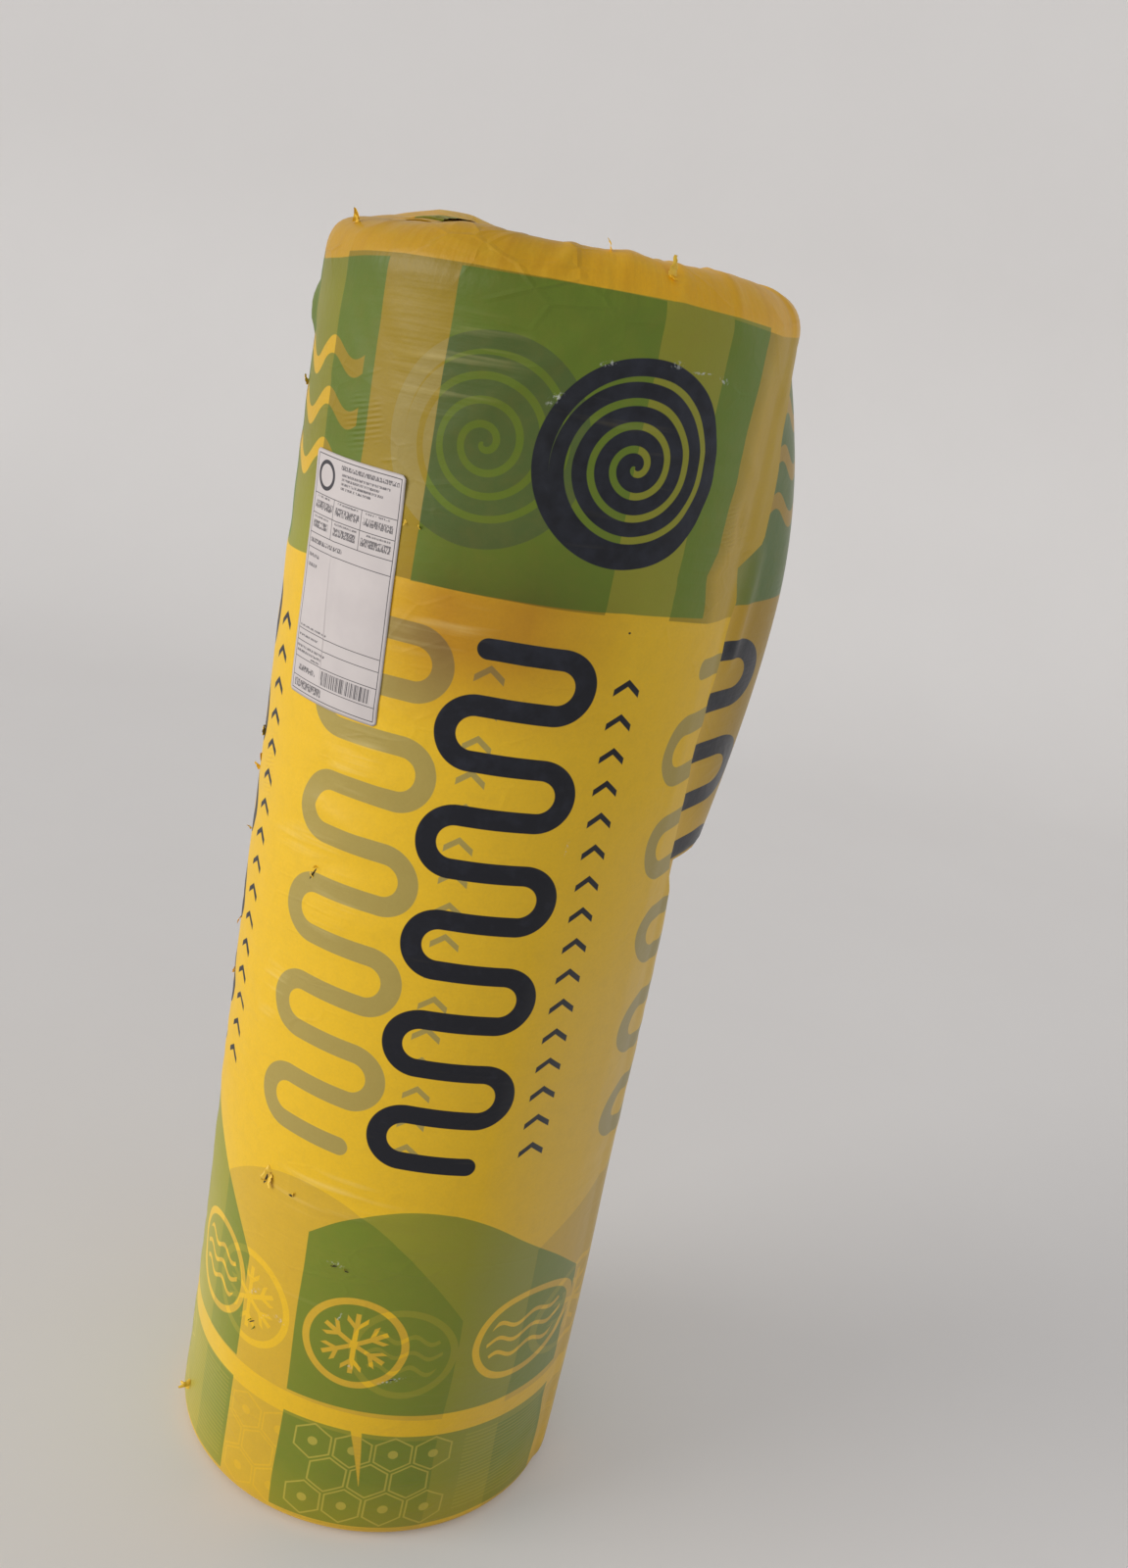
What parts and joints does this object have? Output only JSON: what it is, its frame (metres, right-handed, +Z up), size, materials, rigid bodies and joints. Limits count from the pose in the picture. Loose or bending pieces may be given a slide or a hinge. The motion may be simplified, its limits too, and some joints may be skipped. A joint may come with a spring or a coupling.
{
  "type": "insulation roll",
  "caption": "Glass wool mat wound into an upright roll, wrapped in printed film with a paper label and a loose stretch of film at one side.",
  "frame": {"origin": "centre of the lower end of the roll, on the floor that it stands on", "axes": "+Z up along the roll, +X to the right and +Y to the back, with the label at the front left"},
  "size_m": [0.4321, 0.3894, 1.2],
  "materials": {
    "wool": "fibrous, matt",
    "film": "thin printed film, slightly glossy and creased",
    "label": "matt"
  },
  "bodies": {
    "root": {"wool_mat": "wool", "wrap_film": "film", "product_label": "label"}
  },
  "joints": []
}
